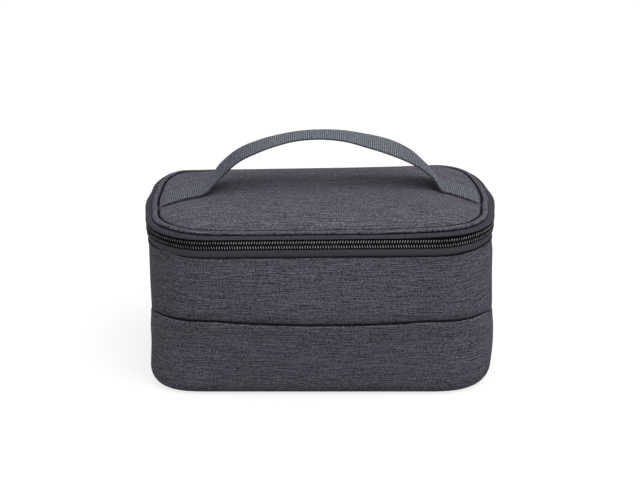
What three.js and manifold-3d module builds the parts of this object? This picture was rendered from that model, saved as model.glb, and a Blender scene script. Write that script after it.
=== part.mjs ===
// Insulated lunch bag: a soft padded box with a domed zip lid and a webbing handle.
// Millimetres, +Z up, front towards -Y, +X to the right of someone facing the front.
// The origin lies on the table under the middle of the bag.
import * as THREE from "three";
import { mergeVertices } from "three/addons/utils/BufferGeometryUtils.js";
import Module from "manifold-3d";

// Body
const BODY_WIDTH = 225;
const BODY_DEPTH = 130;
const CORNER_RADIUS = 40;
const WALL_HEIGHT = 97;
const BASE_EDGE_RADIUS = 13;
const FRONT_BULGE = 5;
const POCKET_HEIGHT = 52;
const POCKET_SIDE_REACH = 28;

// Layers of the padded wall and lid
const FABRIC = 1;
const FOAM = 5;
const LINER = 0.6;
const BINDING = 1.6;
const GAP = 0.3;

// Zip: a coil on each tape edge, the teeth of one between the teeth of the other
const TAPE = 0.6;
const LOWER_TAPE_SHOWN = 6;
const UPPER_TAPE_SHOWN = 3;
const COIL_HEIGHT = 3;
const COIL_THICKNESS = 2.3;
const TOOTH_PITCH = 1.6;
const TOOTH_DEPTH = 1.4;
const TOOTH_GAP = 0.4;
const ZIP_END_ANGLE = 60;

// Lid
const BORDER_INSET = 2.5;
const BORDER_WIDTH = 5.3;
const BORDER_RISE = 2.6;
const GROOVE_RISE = 1.2;
const SEAM_STEP = 3;
const LID_CROWN = 7;
const CROWN_POWER = 5;

// Handle
const STRAP_WIDTH = 25;
const STRAP = 1.6;
const ARCH_HALF_SPAN = 81;
const ARCH_RISE = 38;
const ARCH_POWER = 2.4;
const FLEX_HEIGHT = 20;

// Slider and pull
const SLIDER_ANGLE = 48;
const SLIDER_LENGTH = 10.4;
const SLIDER_HEIGHT = 6.4;
const SLIDER_TAIL_HEIGHT = 5.8;
const SLIDER_PLATE = 1;
const SLIDER_CLEARANCE = 0.5;
const SLIDER_BACK_RISE = 2.8;
const BAIL_BAR = 1.4;
const BAIL_STANDOFF = 1.9;
const BAIL_DROP = 1.8;
const BAIL_SPAN = 7;
const PULL_LENGTH = 25;
const PULL_WIDTH = 6;
const PULL = 1.4;
const PULL_EYE_RADIUS = 1.1;
const PULL_EYE_WALL = 0.6;

// Facets
const ARC_STEPS = 5;
const LONG_STEPS = 6;
const SHORT_STEPS = 2;
const ARCH_STEPS = 24;

// Places that follow from the sizes above
const CENTRE_X = BODY_WIDTH / 2 - CORNER_RADIUS;
const CENTRE_Y = BODY_DEPTH / 2 - CORNER_RADIUS;
const SPLIT_Z = WALL_HEIGHT + LOWER_TAPE_SHOWN + COIL_HEIGHT;
const UPPER_SEAM_Z = SPLIT_Z + COIL_HEIGHT + UPPER_TAPE_SHOWN;
const GROOVE_Z = UPPER_SEAM_Z + GROOVE_RISE;
const GROOVE_INSET = BORDER_INSET + BORDER_WIDTH;
const COIL_INSIDE = TAPE + GAP;
const COIL_OUTSIDE = COIL_INSIDE + COIL_THICKNESS;
const FOAM_OUTSIDE = -FABRIC - GAP;
const FOAM_INSIDE = FOAM_OUTSIDE - FOAM;
const LINER_OUTSIDE = FOAM_INSIDE - GAP;
const LINER_INSIDE = LINER_OUTSIDE - LINER;
const LINER_TOP = WALL_HEIGHT - SEAM_STEP;
const BASE_FOAM_TOP = FABRIC + GAP + FOAM;
const ROLL_Z = BASE_EDGE_RADIUS + GAP;

const wasm = await Module();
wasm.setup();

const radians = THREE.MathUtils.degToRad;
const bag = new THREE.Group();

function addNode(parent, name, geometry, material) {
  const mesh = new THREE.Mesh(geometry, material);
  mesh.name = name;
  parent.add(mesh);
  return mesh;
}

function surface(color, roughness, metalness = 0) {
  return new THREE.MeshStandardMaterial({ color, roughness, metalness });
}

// Stations on the wall's outline, counter-clockwise from above, each with its outward direction.
function arcStations(sideX, sideY, fromDegrees, toDegrees, steps = ARC_STEPS) {
  const stations = [];
  for (let i = 0; i <= steps; i += 1) {
    const angle = radians(fromDegrees + ((toDegrees - fromDegrees) * i) / steps);
    const nx = Math.cos(angle);
    const ny = Math.sin(angle);
    const x = sideX * CENTRE_X + CORNER_RADIUS * nx;
    const y = sideY * CENTRE_Y + CORNER_RADIUS * ny;
    stations.push({ x, y, nx, ny });
  }
  return stations;
}

function straightStations(from, to, steps) {
  const stations = [];
  for (let i = 1; i < steps; i += 1) {
    const x = THREE.MathUtils.lerp(from.x, to.x, i / steps);
    const y = THREE.MathUtils.lerp(from.y, to.y, i / steps);
    stations.push({ x, y, nx: from.nx, ny: from.ny });
  }
  return stations;
}

// Joins arcs with straight runs; a long run lies along the front or back, a short one along a side.
function joinArcs(arcs, closed) {
  const stations = [];
  arcs.forEach((arc, i) => {
    stations.push(...arc);
    if (i === arcs.length - 1 && !closed) {
      return;
    }
    const next = arcs[(i + 1) % arcs.length];
    const last = arc[arc.length - 1];
    const alongFront = Math.abs(last.ny) > 0.5;
    stations.push(...straightStations(last, next[0], alongFront ? LONG_STEPS : SHORT_STEPS));
  });
  return stations;
}

const frontLeft = arcStations(-1, -1, 180, 270);
const frontRight = arcStations(1, -1, 270, 360);
const wholeOutline = joinArcs(
  [arcStations(1, 1, 0, 90), arcStations(-1, 1, 90, 180), frontLeft, frontRight],
  true,
);
const zipOutline = joinArcs(
  [
    arcStations(-1, 1, 180 - ZIP_END_ANGLE, 180),
    frontLeft,
    frontRight,
    arcStations(1, 1, 0, ZIP_END_ANGLE),
  ],
  false,
);
const stripMargin = THREE.MathUtils.radToDeg(1 / CORNER_RADIUS);
const hingeOutline = joinArcs(
  [
    arcStations(1, 1, ZIP_END_ANGLE + stripMargin, 90, 2),
    arcStations(-1, 1, 90, 180 - ZIP_END_ANGLE - stripMargin, 2),
  ],
  false,
);
const pocketOutline = joinArcs([frontLeft, frontRight], false);
pocketOutline.unshift({ ...frontLeft[0], y: frontLeft[0].y + POCKET_SIDE_REACH });
pocketOutline.push({
  ...frontRight[frontRight.length - 1],
  y: frontRight[frontRight.length - 1].y + POCKET_SIDE_REACH,
});

// How far the front swells towards -Y at a height, most in the middle and none at the corners.
function swell(station, z) {
  if (z <= 0 || z >= WALL_HEIGHT) {
    return 0;
  }
  const across = Math.cos((Math.PI * station.x) / BODY_WIDTH) ** 2;
  const up = Math.sin((Math.PI * z) / WALL_HEIGHT);
  return -FRONT_BULGE * Math.max(0, -station.ny) * across * up;
}

// A point at an offset outside the outline and a height.
function wallPoint(station, offset, z) {
  const y = station.y + offset * station.ny + swell(station, z);
  return new THREE.Vector3(station.x + offset * station.nx, y, z);
}

function ringAt(offset, z) {
  return wholeOutline.map((station) => wallPoint(station, offset, z));
}

function fromTriangles(points, triangles) {
  const geometry = new THREE.BufferGeometry();
  const values = points.flatMap((point) => [point.x, point.y, point.z]);
  geometry.setAttribute("position", new THREE.Float32BufferAttribute(values, 3));
  geometry.setIndex(triangles);
  geometry.computeVertexNormals();
  return geometry;
}

// Sweeps a closed outline of [offset, height] pairs, counter-clockwise, along the stations.
// Each facet is split from its lower near corner, so that layers lying on each other match.
function sweep(profile, stations, closed) {
  const count = profile.length;
  const points = [];
  const triangles = [];
  for (const station of stations) {
    for (const [offset, z] of profile) {
      points.push(wallPoint(station, offset, z));
    }
  }
  const spans = closed ? stations.length : stations.length - 1;
  for (let i = 0; i < spans; i += 1) {
    const near = i * count;
    const far = ((i + 1) % stations.length) * count;
    for (let j = 0; j < count; j += 1) {
      const k = (j + 1) % count;
      if (profile[k][1] > profile[j][1]) {
        triangles.push(near + j, far + j, far + k, near + j, far + k, near + k);
      } else {
        triangles.push(near + j, far + j, near + k, far + j, far + k, near + k);
      }
    }
  }
  if (!closed) {
    const flat = profile.map(([offset, z]) => new THREE.Vector2(offset, z));
    const last = (stations.length - 1) * count;
    for (const [a, b, c] of THREE.ShapeUtils.triangulateShape(flat, [])) {
      triangles.push(a, b, c);
      triangles.push(last + a, last + c, last + b);
    }
  }
  return fromTriangles(points, triangles);
}

// A dished sheet between an upper and a lower set of rings, each listed from the rim to the middle.
function dish(upperRings, lowerRings) {
  const points = [];
  const triangles = [];
  const count = upperRings[0].length;
  function addSurface(rings, facingUp) {
    const start = points.length;
    rings.forEach((ring) => points.push(...ring));
    const middle = points.length;
    const inner = rings[rings.length - 1];
    points.push(new THREE.Vector3(0, 0, inner[0].z));
    const face = (a, b, c) => triangles.push(...(facingUp ? [a, b, c] : [a, c, b]));
    for (let r = 0; r < rings.length; r += 1) {
      const outer = start + r * count;
      for (let i = 0; i < count; i += 1) {
        const k = (i + 1) % count;
        const next = outer + count;
        if (r === rings.length - 1) {
          face(outer + i, outer + k, middle);
        } else if (rings[r + 1][0].z < rings[r][0].z) {
          face(outer + i, outer + k, next + i);
          face(outer + k, next + k, next + i);
        } else {
          face(outer + i, outer + k, next + k);
          face(outer + i, next + k, next + i);
        }
      }
    }
    return start;
  }
  const upper = addSurface(upperRings, true);
  const lower = addSurface(lowerRings, false);
  for (let i = 0; i < count; i += 1) {
    const k = (i + 1) % count;
    triangles.push(upper + i, lower + i, lower + k);
    triangles.push(upper + i, lower + k, upper + k);
  }
  return fromTriangles(points, triangles);
}

// Points round the base edge at a distance from its rolling centre, from the floor up to the wall.
function baseRoll(radius) {
  return [0, 30, 60, 90].map((degrees) => {
    const angle = radians(degrees);
    const offset = radius * Math.sin(angle) - BASE_EDGE_RADIUS;
    return [offset, ROLL_Z - radius * Math.cos(angle)];
  });
}

// A straight run up the wall; every layer turns at the same levels, so that all follow the swell alike.
function climb(offset, top) {
  const levels = [0.3, 0.5, 0.7, 0.85].map((share) => share * WALL_HEIGHT);
  return [...levels.filter((z) => z < top - FABRIC), top].map((z) => [offset, z]);
}

// Body shells
const melange = surface(0x4a474f, 0.85);
const foamGrey = surface(0xd9d9d6, 0.95);
const linerGrey = surface(0xb9bcc0, 0.35, 0.4);
const tapeBlack = surface(0x3e3b43, 0.8);
const coilBlack = surface(0x17171a, 0.4);
const webbing = surface(0x666a72, 0.8);
const zincBlack = surface(0x2c2c30, 0.35, 0.8);

const body = new THREE.Group();
bag.add(body);

const wallOutside = [...baseRoll(BASE_EDGE_RADIUS), ...climb(0, WALL_HEIGHT)];
const wallInside = [...baseRoll(BASE_EDGE_RADIUS - FABRIC), ...climb(-FABRIC, WALL_HEIGHT)];
addNode(body, "outer_wall", sweep([...wallOutside, ...wallInside.reverse()], wholeOutline, true), melange);

const pocketInner = BASE_EDGE_RADIUS + GAP;
const pocketOuter = pocketInner + FABRIC;
const pocketOutside = [...baseRoll(pocketOuter).slice(1), ...climb(GAP + FABRIC, POCKET_HEIGHT)];
const pocketInside = [...baseRoll(pocketInner).slice(1), ...climb(GAP, POCKET_HEIGHT)];
const pocketProfile = [...pocketOutside, ...pocketInside.reverse()];
addNode(body, "front_pocket", sweep(pocketProfile, pocketOutline, false), melange);

const baseEdge = -BASE_EDGE_RADIUS - GAP;
addNode(body, "base_panel", dish([ringAt(baseEdge, FABRIC)], [ringAt(baseEdge, 0)]), melange);

const foamRoll = BASE_EDGE_RADIUS - FABRIC - GAP;
const foamStart = baseRoll(foamRoll)[2];
const foamOutside = [foamStart, [FOAM_OUTSIDE, ROLL_Z], ...climb(FOAM_OUTSIDE, LINER_TOP)];
const foamInside = [[FOAM_INSIDE, foamStart[1]], ...climb(FOAM_INSIDE, LINER_TOP)];
addNode(body, "wall_foam", sweep([...foamOutside, ...foamInside.reverse()], wholeOutline, true), foamGrey);

const baseFoamEdge = LINER_OUTSIDE;
const baseFoamBevel = ROLL_Z - Math.sqrt(foamRoll ** 2 - (BASE_EDGE_RADIUS + baseFoamEdge) ** 2);
const baseFoamUpper = [ringAt(baseFoamEdge, BASE_FOAM_TOP)];
const baseFoamLower = [ringAt(baseFoamEdge, baseFoamBevel), ringAt(baseEdge, FABRIC + GAP)];
addNode(body, "base_foam", dish(baseFoamUpper, baseFoamLower), foamGrey);

const linerFloor = BASE_FOAM_TOP + GAP;
const linerWall = climb(0, LINER_TOP).map(([, z]) => z);
const tubInside = [...linerWall.reverse(), linerFloor + LINER].map((z) => ringAt(LINER_INSIDE, z));
const tubOutside = [...linerWall, linerFloor].map((z) => ringAt(LINER_OUTSIDE, z));
addNode(body, "liner_tub", dish(tubInside, tubOutside), linerGrey);

const bindingFoot = LINER_TOP + GAP;
const bodyBinding = [
  [LINER_INSIDE, bindingFoot],
  [FOAM_OUTSIDE, bindingFoot],
  [FOAM_OUTSIDE, bindingFoot + BINDING / 2],
  [FOAM_OUTSIDE - BINDING / 2, bindingFoot + BINDING],
  [LINER_INSIDE + BINDING / 2, bindingFoot + BINDING],
  [LINER_INSIDE, bindingFoot + BINDING / 2],
];
addNode(body, "body_binding", sweep(bodyBinding, wholeOutline, true), tapeBlack);

// Zip tapes and the strip across the back
const tapeFoot = WALL_HEIGHT + GAP;
const coilFoot = SPLIT_Z - COIL_HEIGHT;
const lowerTape = [
  [-TAPE, tapeFoot],
  [0, tapeFoot],
  [TAPE, coilFoot],
  [TAPE, SPLIT_Z - GAP],
  [0, SPLIT_Z - GAP],
  [0, coilFoot],
];
addNode(body, "zip_tape_body", sweep(lowerTape, zipOutline, false), tapeBlack);

const lid = new THREE.Group();
bag.add(lid);

const coilTop = SPLIT_Z + COIL_HEIGHT;
const seamTop = UPPER_SEAM_Z - GAP;
const upperTape = [
  [0, SPLIT_Z + GAP],
  [TAPE, SPLIT_Z + GAP],
  [TAPE, coilTop],
  [-BORDER_INSET, seamTop],
  [-BORDER_INSET - TAPE, seamTop],
  [0, coilTop],
];
addNode(lid, "zip_tape_lid", sweep(upperTape, zipOutline, false), tapeBlack);

const hingeStrip = [
  [-TAPE, tapeFoot],
  [0, tapeFoot],
  [TAPE, SPLIT_Z],
  [-BORDER_INSET, seamTop],
  [-BORDER_INSET - TAPE, seamTop],
  [0, SPLIT_Z],
];
addNode(body, "hinge_strip", sweep(hingeStrip, hingeOutline, false), melange);

// Zip coils: the toothed edge is drawn flat along the length of the zip and then laid on the outline.
const zipLengths = [0];
for (let i = 1; i < zipOutline.length; i += 1) {
  const from = zipOutline[i - 1];
  const to = zipOutline[i];
  zipLengths.push(zipLengths[i - 1] + Math.hypot(to.x - from.x, to.y - from.y));
}
const zipLength = zipLengths[zipLengths.length - 1];
const toothSteps = 2 * Math.round(zipLength / TOOTH_PITCH);

function stationAlong(length) {
  let i = 1;
  while (i < zipLengths.length - 1 && zipLengths[i] < length) {
    i += 1;
  }
  const share = (length - zipLengths[i - 1]) / (zipLengths[i] - zipLengths[i - 1]);
  const from = zipOutline[i - 1];
  const to = zipOutline[i];
  return {
    x: THREE.MathUtils.lerp(from.x, to.x, share),
    y: THREE.MathUtils.lerp(from.y, to.y, share),
    nx: THREE.MathUtils.lerp(from.nx, to.nx, share),
    ny: THREE.MathUtils.lerp(from.ny, to.ny, share),
  };
}

// side is -1 for the coil on the body and +1 for the coil on the lid.
function coil(side) {
  const backLine = zipLengths.map((length) => [length, SPLIT_Z + side * COIL_HEIGHT]);
  const toothLine = [];
  for (let i = 0; i <= toothSteps; i += 1) {
    const depth = i % 2 === 0 ? TOOTH_DEPTH / 2 : -TOOTH_DEPTH / 2;
    toothLine.push([(zipLength * i) / toothSteps, SPLIT_Z + (side * TOOTH_GAP) / 2 + depth]);
  }
  const lower = side < 0 ? backLine : toothLine;
  const upper = side < 0 ? toothLine : backLine;
  const outline = [...lower, ...upper];
  const count = outline.length;
  const points = [];
  for (const offset of [COIL_OUTSIDE, COIL_INSIDE]) {
    points.push(...outline.map(([length, z]) => wallPoint(stationAlong(length), offset, z)));
  }
  const triangles = [];
  const bothFaces = (a, b, c) => triangles.push(a, b, c, count + a, count + c, count + b);
  const edge = (a, b) => triangles.push(a, count + b, b, a, count + a, count + b);
  let i = 0;
  let j = 0;
  const above = lower.length;
  while (i < lower.length - 1 || j < upper.length - 1) {
    const nextLower = i < lower.length - 1 ? lower[i + 1][0] : Infinity;
    const nextUpper = j < upper.length - 1 ? upper[j + 1][0] : Infinity;
    if (nextLower <= nextUpper) {
      bothFaces(i, i + 1, above + j);
      edge(i, i + 1);
      i += 1;
    } else {
      bothFaces(i, above + j + 1, above + j);
      edge(above + j + 1, above + j);
      j += 1;
    }
  }
  edge(lower.length - 1, count - 1);
  edge(above, 0);
  return fromTriangles(points, triangles);
}
addNode(body, "zip_coil_body", coil(-1), coilBlack);
addNode(lid, "zip_coil_lid", coil(1), coilBlack);

// Lid: a stitched groove runs inside the border, and the panel rises from it in a dome.
const LID_HALF_WIDTH = BODY_WIDTH / 2 - GROOVE_INSET;

function crown(share) {
  return LID_CROWN * (1 - share ** CROWN_POWER);
}

function lidHeight(x) {
  return GROOVE_Z + crown(Math.min(1, Math.abs(x) / LID_HALF_WIDTH));
}

function domeRings(inset, drop) {
  const rim = ringAt(-inset, 0);
  const shares = [1, 0.94, 0.84, 0.66, 0.36];
  return shares.map((share) =>
    rim.map((point) => new THREE.Vector3(point.x * share, point.y * share, GROOVE_Z - drop + crown(share))),
  );
}

// The border is a narrow strip of the same fabric, arched between the zip seam and the groove.
function borderArch(depth) {
  const half = BORDER_WIDTH / 2;
  return [0, 35, 70, 110, 150].map((degrees) => {
    const across = half - (half - depth) * Math.cos(radians(degrees));
    const up = (BORDER_RISE - depth) * Math.sin(radians(degrees));
    return [-BORDER_INSET - across, UPPER_SEAM_Z + up];
  });
}
const borderProfile = [...borderArch(0), ...borderArch(FABRIC).reverse()];
addNode(lid, "lid_border", sweep(borderProfile, wholeOutline, true), melange);

const panelInset = GROOVE_INSET + GAP;
addNode(lid, "lid_panel", dish(domeRings(panelInset, 0), domeRings(panelInset, FABRIC)), melange);

const lidFoamInset = GROOVE_INSET + FABRIC;
const lidFoamDrop = FABRIC + GAP;
const lidFoam = dish(domeRings(lidFoamInset, lidFoamDrop), domeRings(lidFoamInset, lidFoamDrop + FOAM));
addNode(lid, "lid_foam", lidFoam, foamGrey);

const lidLinerDrop = lidFoamDrop + FOAM + GAP;
const lidLiner = dish(domeRings(lidFoamInset, lidLinerDrop), domeRings(lidFoamInset, lidLinerDrop + LINER));
addNode(lid, "lid_liner", lidLiner, linerGrey);

const lidBindingIn = -lidFoamInset + GAP;
const lidBindingOut = -BORDER_INSET - FABRIC;
const lidBindingTop = UPPER_SEAM_Z - GAP - TAPE;
const lidBindingFoot = SPLIT_Z + GAP;
const lidBinding = [
  [lidBindingIn, lidBindingFoot],
  [lidBindingOut - BINDING, lidBindingFoot],
  [lidBindingOut, lidBindingFoot + BINDING],
  [lidBindingOut, lidBindingTop],
  [lidBindingIn, lidBindingTop],
];
addNode(lid, "lid_binding", sweep(lidBinding, wholeOutline, true), tapeBlack);

// Handle: one strap of webbing, flat at its sewn ends and arched between them.
const archFoot = lidHeight(ARCH_HALF_SPAN) + 2 * GAP + STRAP / 2;
const gripFoot = archFoot + FLEX_HEIGHT;

function archHeight(x) {
  return archFoot + ARCH_RISE * (1 - (Math.abs(x) / ARCH_HALF_SPAN) ** ARCH_POWER);
}

function archReach(z) {
  return ARCH_HALF_SPAN * (1 - (z - archFoot) / ARCH_RISE) ** (1 / ARCH_POWER);
}

// A length of strap whose middle line runs through points of [x, z].
function strap(line) {
  const upper = [];
  const lower = [];
  line.forEach(([x, z], i) => {
    const before = line[Math.max(0, i - 1)];
    const after = line[Math.min(line.length - 1, i + 1)];
    const along = new THREE.Vector2(after[0] - before[0], after[1] - before[1]).normalize();
    upper.push(new THREE.Vector2(x - (along.y * STRAP) / 2, z + (along.x * STRAP) / 2));
    lower.push(new THREE.Vector2(x + (along.y * STRAP) / 2, z - (along.x * STRAP) / 2));
  });
  const shape = new THREE.Shape([...lower, ...upper.reverse()]);
  const geometry = new THREE.ExtrudeGeometry(shape, { depth: STRAP_WIDTH, bevelEnabled: false });
  geometry.rotateX(Math.PI / 2);
  geometry.translate(0, STRAP_WIDTH / 2, 0);
  return geometry;
}

function archLine(fromX, toX, steps) {
  const line = [];
  for (let i = 0; i <= steps; i += 1) {
    const x = THREE.MathUtils.lerp(fromX, toX, i / steps);
    line.push([x, archHeight(x)]);
  }
  return line;
}

function lyingLine(fromX, toX, steps) {
  const line = [];
  for (let i = 0; i <= steps; i += 1) {
    const x = THREE.MathUtils.lerp(fromX, toX, i / steps);
    line.push([x, lidHeight(x) + 2 * GAP + STRAP / 2]);
  }
  return line;
}

function mirrored(line) {
  return line.map(([x, z]) => [-x, z]);
}

const gripReach = archReach(gripFoot);
const rootFoot = ARCH_HALF_SPAN - GAP - STRAP / 4;
const rootLine = archLine(archReach(gripFoot - GAP), rootFoot, 6);
const endLine = lyingLine(ARCH_HALF_SPAN, LID_HALF_WIDTH, 5);
addNode(lid, "handle_end_left", strap(mirrored(endLine).reverse()), webbing);
addNode(lid, "handle_end_right", strap(endLine), webbing);
addNode(lid, "handle_root_left", strap(mirrored(rootLine).reverse()), webbing);
addNode(lid, "handle_root_right", strap(rootLine), webbing);
addNode(lid, "handle_grip", strap(archLine(-gripReach, gripReach, ARCH_STEPS)), webbing);

// Slider: it stands on the zip at the rear right corner; local X runs along the zip, local Y outwards.
function toSolid(geometry) {
  const plain = geometry.clone();
  plain.deleteAttribute("normal");
  plain.deleteAttribute("uv");
  const merged = mergeVertices(plain, 1e-4);
  const vertProperties = new Float32Array(merged.attributes.position.array);
  const triVerts = new Uint32Array(merged.index.array);
  return new wasm.Manifold(new wasm.Mesh({ numProp: 3, vertProperties, triVerts }));
}

function toGeometry(solid) {
  const { vertProperties, triVerts } = solid.getMesh();
  const geometry = new THREE.BufferGeometry();
  geometry.setAttribute("position", new THREE.BufferAttribute(new Float32Array(vertProperties), 3));
  geometry.setIndex(new THREE.BufferAttribute(new Uint32Array(triVerts), 1));
  geometry.computeVertexNormals();
  return geometry;
}

// A flat plate drawn in [along, height] and standing between two distances from the zip's line.
function uprightPlate(shape, from, to) {
  const geometry = new THREE.ExtrudeGeometry(shape, { depth: to - from, bevelEnabled: false, curveSegments: 4 });
  geometry.rotateX(Math.PI / 2);
  geometry.translate(0, to, 0);
  return geometry;
}

function sliderShape(topRise) {
  const half = SLIDER_LENGTH / 2;
  const nose = SLIDER_HEIGHT / 2;
  const tail = SLIDER_TAIL_HEIGHT / 2;
  const round = 1.4;
  const shape = new THREE.Shape();
  shape.moveTo(-half + round, -tail);
  shape.lineTo(half - 2 * round, -nose);
  shape.quadraticCurveTo(half, -nose, half, -nose + 2 * round);
  shape.lineTo(half, Math.min(nose, topRise) - 2 * round);
  shape.quadraticCurveTo(half, Math.min(nose, topRise), half - 2 * round, Math.min(nose, topRise));
  shape.lineTo(-half + round, Math.min(tail, topRise));
  shape.quadraticCurveTo(-half, Math.min(tail, topRise), -half, Math.min(tail, topRise) - round);
  shape.lineTo(-half, -tail + round);
  shape.quadraticCurveTo(-half, -tail, -half + round, -tail);
  return shape;
}

const faceIn = COIL_OUTSIDE + SLIDER_CLEARANCE;
const faceOut = faceIn + SLIDER_PLATE;
const bailLine = faceOut + BAIL_STANDOFF;
const endBow = CORNER_RADIUS - Math.sqrt(CORNER_RADIUS ** 2 - (SLIDER_LENGTH / 2) ** 2);
const backOut = -GAP - endBow;
const backIn = backOut - SLIDER_PLATE;

// The bail is a flat staple: two legs on the plate and a square bar between them.
function bail() {
  const inside = BAIL_SPAN / 2;
  const outside = inside + BAIL_BAR;
  const barIn = bailLine - BAIL_BAR / 2;
  const barOut = bailLine + BAIL_BAR / 2;
  const root = faceOut - SLIDER_PLATE / 2;
  const shape = new THREE.Shape();
  shape.moveTo(-outside, root);
  shape.lineTo(-inside, root);
  shape.lineTo(-inside, barIn);
  shape.lineTo(inside, barIn);
  shape.lineTo(inside, root);
  shape.lineTo(outside, root);
  shape.lineTo(outside, barOut - BAIL_BAR / 2);
  shape.lineTo(inside, barOut);
  shape.lineTo(-inside, barOut);
  shape.lineTo(-outside, barOut - BAIL_BAR / 2);
  shape.closePath();
  const geometry = new THREE.ExtrudeGeometry(shape, { depth: BAIL_BAR, bevelEnabled: false });
  geometry.translate(0, 0, -BAIL_BAR / 2 - BAIL_DROP);
  return geometry;
}

// The pull hangs by a rolled eye: its section is drawn in [outwards, height] and cut to a rounded tab.
function pull() {
  const eye = PULL_EYE_RADIUS + PULL_EYE_WALL;
  const half = PULL / 2;
  const neck = -Math.sqrt(eye ** 2 - half ** 2);
  const section = new THREE.Shape();
  section.moveTo(-half, -PULL_LENGTH);
  section.lineTo(half, -PULL_LENGTH);
  section.lineTo(half, neck);
  section.absarc(0, 0, eye, Math.atan2(neck, half), Math.atan2(neck, -half) + 2 * Math.PI, false);
  section.closePath();
  const bore = new THREE.Path();
  bore.absarc(0, 0, PULL_EYE_RADIUS, 0, 2 * Math.PI, true);
  section.holes.push(bore);
  const blank = new THREE.ExtrudeGeometry(section, { depth: PULL_WIDTH, bevelEnabled: false, curveSegments: 8 });
  blank.translate(0, 0, -PULL_WIDTH / 2);
  blank.rotateX(Math.PI / 2);
  blank.rotateZ(Math.PI / 2);

  const tab = new THREE.Shape();
  const side = PULL_WIDTH / 2;
  const waist = side * 0.7;
  tab.moveTo(-side, eye);
  tab.lineTo(-side, -eye - GAP);
  tab.lineTo(-waist, -eye - PULL_WIDTH);
  tab.lineTo(-side, -PULL_LENGTH + side);
  tab.absarc(0, -PULL_LENGTH + side, side, Math.PI, 2 * Math.PI, false);
  tab.lineTo(waist, -eye - PULL_WIDTH);
  tab.lineTo(side, -eye - GAP);
  tab.lineTo(side, eye);
  tab.closePath();
  return toGeometry(toSolid(blank).intersect(toSolid(uprightPlate(tab, -2 * eye, 2 * eye))));
}

const slider = new THREE.Group();
const sliderDirection = radians(SLIDER_ANGLE);
slider.position.set(
  CENTRE_X + CORNER_RADIUS * Math.cos(sliderDirection),
  CENTRE_Y + CORNER_RADIUS * Math.sin(sliderDirection),
  SPLIT_Z,
);
slider.rotation.z = sliderDirection - Math.PI / 2;
bag.add(slider);

const facePlate = uprightPlate(sliderShape(SLIDER_HEIGHT), faceIn, faceOut);
addNode(slider, "slider_face", toGeometry(toSolid(facePlate).add(toSolid(bail()))), zincBlack);
addNode(slider, "slider_back", uprightPlate(sliderShape(SLIDER_BACK_RISE), backIn, backOut), zincBlack);
const pullTab = addNode(slider, "slider_pull", pull(), zincBlack);
pullTab.position.set(0, bailLine, -BAIL_DROP);

export default bag;
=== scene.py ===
"""Insulated lunch bag: the sewn shell, padded lid, zip and webbing handle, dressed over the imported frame.

Metres, +Z up, front towards -Y. Layers are placed by their offset outwards from the wall's outline
and by their height, so that every layer follows the same soft form.
"""

from math import atan2, ceil, copysign, cos, degrees, exp, pi, radians, sin, sqrt

import bmesh
import bpy
from mathutils import Matrix, Vector, noise


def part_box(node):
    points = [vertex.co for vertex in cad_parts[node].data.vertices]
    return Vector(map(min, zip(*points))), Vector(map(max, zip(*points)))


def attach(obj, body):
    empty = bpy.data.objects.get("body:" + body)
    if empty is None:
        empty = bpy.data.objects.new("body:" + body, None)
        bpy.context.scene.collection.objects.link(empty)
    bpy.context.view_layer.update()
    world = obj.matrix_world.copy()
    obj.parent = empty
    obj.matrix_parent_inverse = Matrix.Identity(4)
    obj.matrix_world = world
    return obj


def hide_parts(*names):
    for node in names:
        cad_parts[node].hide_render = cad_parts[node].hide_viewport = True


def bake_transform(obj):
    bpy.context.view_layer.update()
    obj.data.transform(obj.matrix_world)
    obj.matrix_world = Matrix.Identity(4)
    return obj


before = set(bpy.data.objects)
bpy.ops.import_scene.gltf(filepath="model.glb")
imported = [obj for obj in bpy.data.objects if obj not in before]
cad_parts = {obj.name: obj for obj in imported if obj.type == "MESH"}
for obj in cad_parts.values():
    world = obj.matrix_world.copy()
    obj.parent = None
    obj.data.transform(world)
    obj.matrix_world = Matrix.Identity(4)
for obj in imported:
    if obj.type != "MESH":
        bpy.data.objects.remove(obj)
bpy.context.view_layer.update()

# Sizes read from the frame
wall_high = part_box("outer_wall")[1]
HALF_WIDTH = wall_high.x
HALF_DEPTH = wall_high.y
WALL_TOP = wall_high.z
POCKET_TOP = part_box("front_pocket")[1].z
POCKET_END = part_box("front_pocket")[1].y
COIL_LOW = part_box("zip_coil_body")[0].z
COIL_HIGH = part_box("zip_coil_lid")[1].z
COIL_HALF = (COIL_HIGH - COIL_LOW) / 2
SPLIT_Z = (COIL_LOW + COIL_HIGH) / 2 + 0.0004
LINER_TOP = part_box("liner_tub")[1].z
LINER_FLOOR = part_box("liner_tub")[0].z
SEAM_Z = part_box("lid_border")[0].z
PANEL_INSET = HALF_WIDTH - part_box("lid_panel")[1].x
STRAP_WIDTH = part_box("handle_grip")[1].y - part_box("handle_grip")[0].y

# Thicknesses of the layers, and the gap left between them. Cloth that is turned under is drawn thinner.
FABRIC = 0.001
TURNED_FABRIC = 0.0006
FOAM = 0.005
LINER = 0.0006
TAPE = 0.0006
BINDING = 0.0005
STRAP = 0.0016
GAP = 0.0003

# The form of the bag
CORNER = 0.040
BASE_ROLL = 0.0085
BASE_LIFT = 0.0003
FRONT_BULGE = 0.005
POCKET_TUCK = 0.0012
ZIP_FACE = -0.0016
ROLLED_EDGE = 0.0012
BORDER_OUT = -0.0032
BORDER_WIDTH = 0.0044
BORDER_RISE = 0.0016
GROOVE_Z = 0.1132
CROWN = 0.0082
CROWN_POWER = 5
CROWN_SLOPE = 0.012
ZIP_END = radians(60)

# The zip's wire and its turns, and the ribs of the webbing
WIRE = 0.00042
WIRE_SIDES = 8
PITCH = 0.00166
RIB = 0.0014

# Fineness of the sewn shells
CORNER_STEPS = 24
STEP = 0.0025
SEAM_REACH = 0.005

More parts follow.
